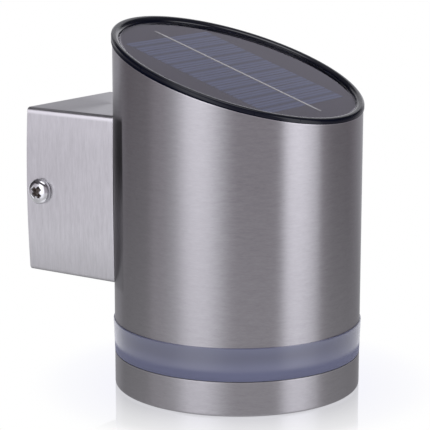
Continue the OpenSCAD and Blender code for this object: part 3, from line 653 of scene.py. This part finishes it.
class WALLLIGHT_OT_bezel(bpy.types.Operator):
    """Gloss black bezel along the slanted cut"""

    bl_idname = "walllight.bezel"
    bl_label = "Bezel"

    def execute(self, context):
        sizes, colours, _ = settings(context)
        f = Finish("gloss_black")
        x, y, z = f.at
        haze = f.cloud(60, 3.0, 0.6)
        fine = f.cloud(900, 3.0, 0.6)
        wave = f.cloud(120, 1.0)
        scratch = f.noise(x * 300, y * 1500, z * 300, 1.0).step(0.72, 0.78)
        out = f.from_axis() - TUBE_R - sizes.lip_overhang
        over = z - (y - AXIS_Y) * tan(sizes.panel_slope) - BASE_Z - sizes.cut_height
        inner = out.step(-1.1 * MM, -1.5 * MM)
        low = over.step(1.1 * MM, 0.7 * MM) * (1.0 - inner) \
            + over.step(1.55 * MM, 1.25 * MM) * inner
        flat = over.step(sizes.lip_height - 0.4 * MM, sizes.lip_height - 0.1 * MM)
        coat = f.math("MAXIMUM", 0.3 + 0.6 * inner, flat) * (1.0 - 0.95 * low)
        base = f.mix(haze, tinted(colours.gloss_black, 0.7), tinted(colours.gloss_black, 1.5))
        black = f.done(base, 0.3 + haze * 0.1, wave * 4 + fine * 0.15, 6, {
            "IOR": 1.05, "Coat Weight": coat - scratch * 0.2, "Coat Roughness": 0.06,
            "Coat IOR": 1.7})
        profile, rise = bezel_profile(sizes)
        points = leaning(turned(profile, sizes.rounds), np.repeat(rise, sizes.rounds),
                         sizes.cut_height)
        faces = [grid_faces(len(profile), sizes.rounds, True, True)]
        new_piece("bezel_ring", points, faces, black, ["panel_bezel"])
        return {"FINISHED"}


def on_board(tree, sizes):
    """Places on the board: x, the distance up the slope from the tube's axis, and the distance
    from the middle of the nearest strip, in pitches. It is 0.5 in the middle of a gap."""
    x, y, z = tree.at
    level = BASE_Z + sizes.cut_height - sizes.board_top
    up = (y - AXIS_Y) * cos(sizes.panel_slope) + (z - level) * sin(sizes.panel_slope)
    strips = (up - (sizes.cell_shift + 200 * sizes.cell_pitch)) / sizes.cell_pitch
    return x, up, abs(tree.math("FRACT", strips) - 0.5)


def board_finish(colours):
    """Dark board with fine specks in its lacquer and cloudy tone."""
    f = Finish("panel_board_dark")
    cloud = f.cloud(45, 3.0, 0.6)
    speck = f.cloud(3200)
    base = f.mix(cloud, tinted(colours.board, 0.75), tinted(colours.board, 1.25))
    base = f.mix(speck.step(0.45, 0.7) * 0.3, base, tinted(colours.board, 1.7))
    return f.done(base, 0.55 + cloud * 0.1, speck, 6, {"IOR": 1.04})


def cell_finish(sizes, colours):
    """Blue silicon: fine printed fingers along each strip, crystal mottling and a dark line
    along the middle of each strip."""
    f = Finish("blue_silicon")
    x, up, across = on_board(f, sizes)
    finger = abs(f.math("FRACT", across * 5.0 + 0.02) - 0.5).step(0.14, 0.40)
    line = across.step(0.06, 0.036)
    crystal = f.value("TexVoronoi", {"voronoi_dimensions": "2D"},
                      {"Vector": f.joined(x, up, 0.0), "Scale": 260.0}, "Color")
    mottle = f.noise(x * 120, up * 120, 0.0, 3.0, 0.6)
    base = f.mix(mottle, tinted(colours.cell, 0.75), tinted(colours.cell, 1.25))
    base = f.mix(crystal * 0.25, base, tinted(colours.cell, 1.5))
    base = f.mix(finger * 0.75, base, colours.finger)
    base = f.mix(line * 0.9, base, tinted(colours.cell, 0.35))
    return f.done(base, 0.45 + mottle * 0.1, sockets={"IOR": 1.04})


def ribbon_finish(sizes, colours):
    """Tinned ribbon: lumps of solder that show most over the gaps, dull edges, and a film that
    thickens past the last strip at both ends."""
    f = Finish("tinned_ribbon")
    x, up, across = on_board(f, sizes)
    lumps = f.noise(x * 900, up * 420, 0.0, 3.0, 0.6)
    shine = f.noise(up * 900, 0.0, 0.0, 2.0).step(0.42, 0.58)
    edge = abs(x).step(0.28 * MM, 0.42 * MM)
    end = abs(up - sizes.cell_shift).step(0.033, 0.0385)
    base = f.mix(lumps, tinted(colours.ribbon, 0.65), colours.ribbon)
    base = f.mix(across.step(0.0, 0.5) * 0.25, tinted(colours.ribbon, 0.55), base)
    base = f.mix(edge * 0.85, base, colours.board)
    base = f.mix(end * 0.9, base, colours.board)
    metal = (0.95 - shine * 0.45) * (1.0 - f.math("MAXIMUM", edge, end))
    return f.done(base, 0.26 + (lumps - 0.5) * 0.2, lumps, 20, {"Metallic": metal})


def resin_finish():
    """Clear resin: mirror gloss by the Fresnel law on its outside, transparent otherwise."""
    f = Finish("clear_resin_gloss")
    haze = f.cloud(70, 3.0, 0.6)
    normal = f.bump(f.cloud(55, 1.0), 10)
    outside = 1.0 - f.value("NewGeometry", (), (), "Backfacing")
    gloss = f.value("Fresnel", (), {"IOR": 1.45, "Normal": normal}) * outside
    return f.done((0.90, 0.87, 0.96), 0.035 + haze * 0.03,
                  sockets={"Metallic": 1.0, "Normal": normal}, gloss=gloss)


def resin_shape(s):
    """A low disc on the slanted plane: radius and turn on a grid; its top climbs the bezel's
    wall with the power 2.5 of the last stretch, and its underside lies just over the cells."""
    edge = TUBE_R + s.lip_overhang - s.lip_width - 0.03 * MM
    foot = edge - s.resin_rise_width
    radius = np.concatenate([np.linspace(0, foot, 30)[1:], np.linspace(foot, edge, 14)[1:]])
    climb = np.clip((radius - foot) / s.resin_rise_width, 0, 1) ** 2.5
    top = np.stack([radius, s.resin_height + s.resin_rise * climb], 1)
    under = np.stack([radius[::-1], np.full(len(radius), s.resin_floor)], 1)
    profile = np.concatenate([top, under])
    points = np.concatenate([turned(profile, s.rounds),
                             [[0, AXIS_Y, s.resin_height], [0, AXIS_Y, s.resin_floor]]])
    faces = capped_faces(len(profile), s.rounds)
    return leaning(points, tan(s.panel_slope), s.cut_height), faces


class WALLLIGHT_OT_panel(bpy.types.Operator):
    """Solar cells, ribbon and board under clear resin"""

    bl_idname = "walllight.panel"
    bl_label = "Solar panel"

    def execute(self, context):
        sizes, colours, _ = settings(context)
        give(board_finish(colours), "panel_board")
        give(cell_finish(sizes, colours), "solar_cells")
        give(ribbon_finish(sizes, colours), "cell_ribbon")
        points, faces = resin_shape(sizes)
        new_piece("resin_cover", points, faces, resin_finish(), ["panel_resin"])
        return {"FINISHED"}


class WALLLIGHT_OT_ring(bpy.types.Operator):
    """Frosted light ring"""

    bl_idname = "walllight.ring"
    bl_label = "Light ring"

    def execute(self, context):
        _, colours, _ = settings(context)
        f = Finish("frosted_ring")
        x, y, z = f.at
        up = (z - RING_LOW) / (RING_HIGH - RING_LOW)
        ripple = f.noise(x * 30, y * 30, z * 140, 2.0)
        cloud = f.cloud(55, 3.0, 0.6)
        frost = f.cloud(2400)
        # Painted shade and light: a darker band high up stands in for the parts inside, a lighter
        # band low down.
        painted_light_tones = ((0.0, 0.95), (0.12, 1.10), (0.40, 1.16), (0.62, 0.80), (0.82, 0.76), (1.0, 1.05))
        stops = [(height, tinted(colours.ring, tone)) for height, tone in painted_light_tones]
        shade = f.add("ValToRGB", {"interpolation": "B_SPLINE", "stops": stops},
                      {0: up + (ripple - 0.5) * 0.25}).outputs[0]
        base = f.mix((cloud - 0.5) * 0.5 + 0.5, tinted(colours.ring, 0.8), shade)
        roughness = 0.42 + (cloud - 0.5) * 0.1 + up.step(0.40, 0.22) * 0.3
        give(f.done(f.mix(0.7, base, shade), roughness, frost, 6, {
            "IOR": 1.5, "Coat Weight": 0.05 + up.step(0.22, 0.40) * 0.95,
            "Coat Roughness": 0.18, "Coat IOR": 1.6, "Sheen Weight": 0.2,
            "Sheen Roughness": 0.35, "Sheen Tint": (0.80, 0.80, 1.0)}), "diffuser_ring")
        return {"FINISHED"}


class WALLLIGHT_OT_bracket(bpy.types.Operator):
    """Folded bracket box, its saddle and the wall plate"""

    bl_idname = "walllight.bracket"
    bl_label = "Bracket box"

    def execute(self, context):
        sizes, colours, _ = settings(context)
        fold_x = BOX_HALF_W - sizes.box_bow - sizes.box_fold

        def edges(x, y, z):
            """Painted highlight where the side meets the upper fold and a little below it, and
            painted light towards the top; painted shade as a dark line along the folds' tops and
            towards the underside."""
            top, bottom = BOX_HIGH.z - z, z - BOX_LOW.z
            # Painted highlight along the upper fold.
            fold = top.step(2.6 * MM, 1.5 * MM) * top.step(0.6 * MM, 0.8 * MM)
            # Painted shade: a dark line along the folds, standing in for a dark reflection.
            edge = abs(z - BOX_Z).step(BOX_HALF_H - 0.8 * MM, BOX_HALF_H - 0.6 * MM) \
                * abs(x).step(fold_x - 0.1 * MM, fold_x + 0.5 * MM)
            # Painted light lighter towards the top, painted shade darker towards the underside.
            return (fold + 0.2 * top.step(14 * MM, 3 * MM),
                    edge * 0.3 + 0.12 * bottom.step(16 * MM, 2 * MM))

        steel = brushed("brushed_steel_box", colours.box_steel, roughness=0.36, anisotropy=0.6,
                        turn=0.0, grain=(330, 3600, 330), relief=7, edge_tint=0.6, edges=edges)
        points, faces = box_shell(sizes)
        new_piece("bracket_shell", points, faces, steel, ["bracket_box"],
                  sharp=50)
        points, faces = saddle_plate(sizes)
        new_piece("bracket_saddle", points, faces, steel, ["bracket_box"])
        give(brushed("zinc_plate", colours.plate, roughness=0.45, anisotropy=0.2, turn=0.0,
                     grain=(300, 300, 300), relief=6), "wall_plate")
        return {"FINISHED"}


def new_screw(name, head_r, rest, outward, seat, material, node):
    """One screw that stands on its seat and faces outward; rest is the rest of its shape."""
    points, faces, marks = screw_shape(head_r, *rest)
    new_piece(name, turned_to(points, outward, seat), faces, material, [node], marks=marks)


class WALLLIGHT_OT_screws(bpy.types.Operator):
    """Side screws, bracket bolts, base screws and nuts"""

    bl_idname = "walllight.screws"
    bl_label = "Screws"

    def execute(self, context):
        sizes, colours, _ = settings(context)
        chrome = plated("chrome_screw", colours.chrome, 0.12, colours.recess)
        zinc = plated("zinc_screw", colours.bright, 0.28, tinted(colours.recess, 0.6))
        low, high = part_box("side_screws")
        centre = (low + high) / 2
        for name, side in (("side_screw_left", -1), ("side_screw_right", 1)):
            new_screw(name, (high.z - low.z) / 2, SIDE_SCREW, (side, 0, 0),
                      (side * BOX_HIGH.x, centre.y, centre.z), chrome, "side_screws")
        low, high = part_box("bracket_bolts")
        head_r = (high.x - low.x) / 2
        bolt_y = AXIS_Y + sizes.saddle_radius + sizes.box_sheet
        for name, z in (("bracket_bolt_lower", low.z + head_r),
                        ("bracket_bolt_upper", high.z - head_r)):
            new_screw(name, head_r, BRACKET_BOLT, (0, 1, 0), (0, bolt_y, z), zinc,
                      "bracket_bolts")
        for k, turn in enumerate(BASE_TURNS):
            x, y = BASE_CIRCLE * cos(radians(turn)), BASE_CIRCLE * sin(radians(turn))
            new_screw(f"base_screw_{k + 1}", BASE_HEAD_R, BASE_SCREW, (0, 0, -1),
                      (x, AXIS_Y + y, BASE_Z + DIMPLE), zinc, "base_screws")
        give(plated("zinc_nut", colours.bright, 0.3), "bracket_nuts", "led_board_screws")
        return {"FINISHED"}


# Name, shade, then roughness, pebble, relief and gloss level as far as they are given, and nodes
MOULDED = (
    ("moulded_black", (0.022, 0.022, 0.024), (0.5,), "base_frame", "chassis", "battery_holder",
     "control_chip", "power_switch"),
    ("slider_grey", (0.11, 0.11, 0.12), (0.4, 900), "switch_slider"),
    ("moulded_white", (0.78, 0.78, 0.76), (0.35, 1800, 8), "reflector", "led_board"),
    ("seal_rubber", (0.035, 0.035, 0.037), (0.75, 2600, 30, 0.3), "bezel_seal"),
    ("foam_tape", (0.06, 0.058, 0.055), (0.9, 3200, 50, 0.2), "panel_tape"),
    ("socket_cream", (0.72, 0.66, 0.50), (0.4,), "lead_sockets"),
    ("ferrite", (0.05, 0.048, 0.05), (0.7, 2200, 40), "inductor"),
    ("lead_red", (0.55, 0.03, 0.025), (0.42, 700, 10), "panel_leads", "battery_leads"),
    ("lead_white", (0.74, 0.73, 0.70), (0.42, 700, 10), "led_leads"),
    ("lead_blue", (0.03, 0.09, 0.42), (0.42, 700, 10), "switch_leads"),
)


def circuit_finish():
    """Solder mask over copper tracks: a grid of cells whose borders darken the green."""
    f = Finish("board_green")
    x, _, z = f.at
    cells = f.value("TexVoronoi", {"voronoi_dimensions": "2D", "feature": "DISTANCE_TO_EDGE"},
                    {"Vector": f.joined(x, z, 0.0), "Scale": 420.0}, "Distance")
    track = cells.step(0.10, 0.06)
    cloud = f.cloud(90, 3.0)
    base = f.mix(track, (0.010, 0.120, 0.045), (0.030, 0.200, 0.080))
    base = f.mix(cloud * 0.3, base, (0.006, 0.08, 0.03))
    return f.done(base, 0.3 + cloud * 0.1, track, 30)


def sleeve_finish(name, shade, band, width):
    """Shrink sleeve with a light band along its length and soft wrinkles."""
    f = Finish(name)
    x, y, z = f.at
    wrinkle = f.noise(x * 700, y * 120, z * 120, 3.0, 0.6)
    stripe = abs(f.math("FRACT", z / (2 * width) + 40.0) - 0.5).step(0.33, 0.31)
    base = f.mix(stripe, tinted(band, 0.9), shade)
    base = f.mix(wrinkle * 0.25, base, tinted(shade, 0.6))
    return f.done(base, 0.28 + wrinkle * 0.12, wrinkle, 20)


def diode_finish():
    """White casing with a yellow phosphor face."""
    f = Finish("led_phosphor")
    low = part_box("leds")[0].z
    face = f.at[2].step(low + 0.2 * MM, low + 0.05 * MM)
    grain = f.cloud(3000)
    phosphor = f.mix(grain, (0.80, 0.62, 0.10), (0.90, 0.74, 0.22))
    base = f.mix(face, (0.8, 0.8, 0.78), phosphor)
    return f.done(base, 0.35 + grain * 0.2)


class WALLLIGHT_OT_inside(bpy.types.Operator):
    """Moulded frames, boards, batteries and leads inside the lamp"""

    bl_idname = "walllight.inside"
    bl_label = "Inner pieces"

    def execute(self, context):
        for name, shade, finish, *nodes in MOULDED:
            give(moulded(name, shade, *finish), *nodes)
        give(circuit_finish(), "control_board")
        give(sleeve_finish("battery_sleeve", (0.03, 0.22, 0.10), (0.75, 0.76, 0.74), 0.0052),
             "batteries")
        give(sleeve_finish("capacitor_sleeve", (0.02, 0.025, 0.06), (0.55, 0.56, 0.58), 0.0016),
             "capacitor")
        give(diode_finish(), "leds")
        give(brushed("spring_steel", (0.60, 0.59, 0.57), roughness=0.3, anisotropy=0.0, turn=0.0,
                     grain=(900, 900, 900), relief=4), "battery_contacts", "battery_springs")
        return {"FINISHED"}


def new_camera(scene, studio):
    """Looks at the aim, then turns by the small angle that puts the aim off the middle."""
    data = bpy.data.cameras.new("camera")
    data.lens, data.sensor_width = studio.lens, 36.0
    data.clip_start, data.clip_end = 0.01, 20.0
    camera = bpy.data.objects.new("camera", data)
    scene.collection.objects.link(camera)
    look = (Vector(studio.aim) - Vector(studio.camera_place)).to_track_quat("-Z", "Y")
    roll = Quaternion((0, 0, 1), studio.roll)
    focal = studio.lens / data.sensor_width
    shown = Vector((studio.aim_right, -studio.aim_down, -focal))
    offset = shown.rotation_difference(Vector((0, 0, -1)))
    camera.rotation_mode = "QUATERNION"
    camera.rotation_quaternion = look @ roll @ offset
    camera.location = studio.camera_place
    scene.camera = camera


def between(mask, first, second):
    """Level between two: first where the mask is 0, second where it is 1."""
    return first * (1.0 - mask) + mask * second


def new_world(scene, studio):
    """The studio as a function of direction: turn from the camera in degrees (positive to
    its right) and rise above the horizon. A grey room with dark screens at both sides, two
    strip lights and a small light over the bracket, a white backdrop behind the lamp with
    two dark flags, and an overhead light past a dark gap. Dim parts are a little warmer.
    The camera itself sees plain white."""
    world = bpy.data.worlds.new("studio")
    scene.world = world
    world.use_nodes = True
    t = Tree(world.node_tree)
    x, y, z = t.split(t.add("TexCoord").outputs["Generated"])
    offset = Vector(studio.camera_place) - Vector(studio.aim)
    azimuth = atan2(offset.x, -offset.y)
    toward = x * sin(azimuth) - y * cos(azimuth)
    aside = x * cos(azimuth) + y * sin(azimuth)
    turn = t.math("ARCTAN2", aside, toward) * degrees(1)
    rise = t.math("ARCSINE", z) * degrees(1)
    low = rise.step(-1, -13)
    screens = turn.step(-60, -86) + turn.step(82, 100)
    far_left = turn.step(-84, -98)
    shaded = far_left * (1.0 - turn.step(-125, -145)) * rise.step(-9, 4)
    screen = studio.screen * (1.0 + (0.6 + 0.5 * far_left) * low) * (1.0 - 0.6 * shaded)
    level = between(screens, between(low, studio.wall, studio.low_wall), screen)

    tall = 0.92 + 0.30 * rise.step(-8, 6)
    level = level + turn.step(-72, -40) * turn.step(0, -34) * tall * studio.left_light
    strip = 0.45 * turn.step(78, 58) + 0.55 * turn.step(84, 75)
    level = level + turn.step(36, 50) * strip * tall * studio.right_light
    level = level + turn.band(-74, 8, 8) * rise.band(8, 10, 8) * studio.bracket_light

    backdrop = turn.step(118, 159) + turn.step(-120, -144)
    fall = 1.0 - 0.45 * rise.step(14, 26)
    level = between(backdrop, level, fall * studio.backdrop)
    left = turn.step(-50, -64) * turn.step(-141, -132) \
        * (rise + 28.0 * turn.step(-80, -140)).step(20, 30)
    right = turn.step(84, 96) * turn.step(164, 150) * rise.step(8, 20)
    level = between(left + right, level, studio.flag)

    level = between(rise.step(33, 38), level, studio.gap)
    ceiling = between(abs(turn).step(85, 60), studio.dark_ceiling, studio.ceiling)
    level = between(rise.step(56, 64), level, ceiling)
    lit = t.math("MAXIMUM", backdrop, level.step(0.5, 1.0))
    shade = t.mix(lit, (1.02, 0.945, 1.03), (0.985, 0.98, 1.03))
    light = t.shader("Background", {0: shade, 1: level})
    white = t.shader("Background", {0: (1, 1, 1), 1: 1.0})
    both = t.blend(t.add("LightPath").outputs["Is Camera Ray"], light, white)
    t.add("OutputWorld", (), {0: both})


def new_floor(studio):
    """A round white floor: radius and turn on a grid. It mirrors the lamp most near the
    base, keeps its soft shadow, and ends in the white of the background."""
    rings, steps, level = 24, 96, BASE_Z - 0.05 * MM
    radius = np.linspace(0, 1, rings + 1)[1:] * studio.floor_radius
    grid = turned(np.stack([radius, np.full(rings, level)], 1), steps)
    points = np.concatenate([grid, [[0, AXIS_Y, level]]])
    faces = [*grid_faces(rings, steps, False, True)[:, ::-1].tolist(),
             *pole_faces(rings * steps, np.arange(steps), False).tolist()]
    mesh = bpy.data.meshes.new("floor")
    mesh.from_pydata(points.tolist(), [], faces)
    mesh.update()
    floor = bpy.data.objects.new("floor", mesh)
    bpy.context.scene.collection.objects.link(floor)
    mesh.materials.append(acrylic_finish())


def acrylic_finish():
    """White to the camera, with a little shade and a mirror that both fade with e to minus
    the distance from the tube, and a faint painted blue glow over the mirror near the base;
    glossy to the lamp; clear from below."""
    f = Finish("white_acrylic")
    away = f.from_axis() - TUBE_R
    fade = f.math("EXPONENT", away / (-24 * MM)) * away.step(0.034, 0.018)
    near = away.step(0.035, 0.0)
    glow = f.shader("Emission", {0: (1, 1, 1), 1: 1.0})
    matt = f.shader("BsdfDiffuse", {0: (0.82, 0.82, 0.84)})
    mirror = f.shader("BsdfGlossy", {0: (0.96, 0.965, 1.0), "Roughness": 0.03})
    # Painted reflection tint: a faint blue glow near the base, seen by the camera only.
    painted_blue_glow = f.shader("Emission", {0: (0.4, 0.4, 1.0), 1: 1.0})
    seen = f.blend(fade * 0.42, f.blend(near * 0.06, glow, matt), mirror)
    seen = f.blend(fade * 0.04, seen, painted_blue_glow)
    table = f.shader("Emission", {0: (0.98, 0.98, 1.0), 1: 1.0})
    soft = f.shader("BsdfGlossy", {0: (0.9, 0.9, 0.92), "Roughness": 0.25})
    camera = f.value("LightPath", (), (), "Is Camera Ray")
    shader = f.blend(camera, f.blend(0.38, table, soft), seen)
    below = f.value("NewGeometry", (), (), "Backfacing")
    shader = f.blend(below, shader, f.shader("BsdfTransparent"))
    f.add("OutputMaterial", (), {0: shader})
    return f.material


class WALLLIGHT_OT_studio(bpy.types.Operator):
    """White acrylic floor, soft studio light and the camera"""

    bl_idname = "walllight.studio"
    bl_label = "Studio"

    def execute(self, context):
        _, _, studio = settings(context)
        new_camera(context.scene, studio)
        new_world(context.scene, studio)
        new_floor(studio)
        context.scene.view_settings.view_transform = "Standard"
        return {"FINISHED"}


class WALLLIGHT_PT_panel(bpy.types.Panel):
    """Lists the steps and what may be changed"""

    bl_label = "Solar wall light"
    bl_idname = "WALLLIGHT_PT_panel"
    bl_space_type = "VIEW_3D"
    bl_region_type = "UI"
    bl_category = "Wall light"

    def draw(self, context):
        for step in STEPS:
            self.layout.operator(step.bl_idname)
        for group in settings(context):
            column = self.layout.column(align=True)
            for key in group.__annotations__:
                column.prop(group, key)


GROUPS = {"walllight_sizes": WALLLIGHT_PG_sizes, "walllight_colours": WALLLIGHT_PG_colours,
          "walllight_studio": WALLLIGHT_PG_studio}
STEPS = (WALLLIGHT_OT_studio, WALLLIGHT_OT_body, WALLLIGHT_OT_bezel, WALLLIGHT_OT_panel,
         WALLLIGHT_OT_ring, WALLLIGHT_OT_bracket, WALLLIGHT_OT_screws, WALLLIGHT_OT_inside)


def register():
    for kind in (*GROUPS.values(), *STEPS, WALLLIGHT_PT_panel):
        bpy.utils.register_class(kind)
    for name, group in GROUPS.items():
        setattr(bpy.types.Scene, name, PointerProperty(type=group))


def unregister():
    for name in GROUPS:
        delattr(bpy.types.Scene, name)
    for kind in reversed((*GROUPS.values(), *STEPS, WALLLIGHT_PT_panel)):
        bpy.utils.unregister_class(kind)


def main():
    register()
    for step in STEPS:
        group, name = step.bl_idname.split(".")
        getattr(getattr(bpy.ops, group), name)()
    bpy.context.view_layer.update()


if __name__ == "__main__":
    main()
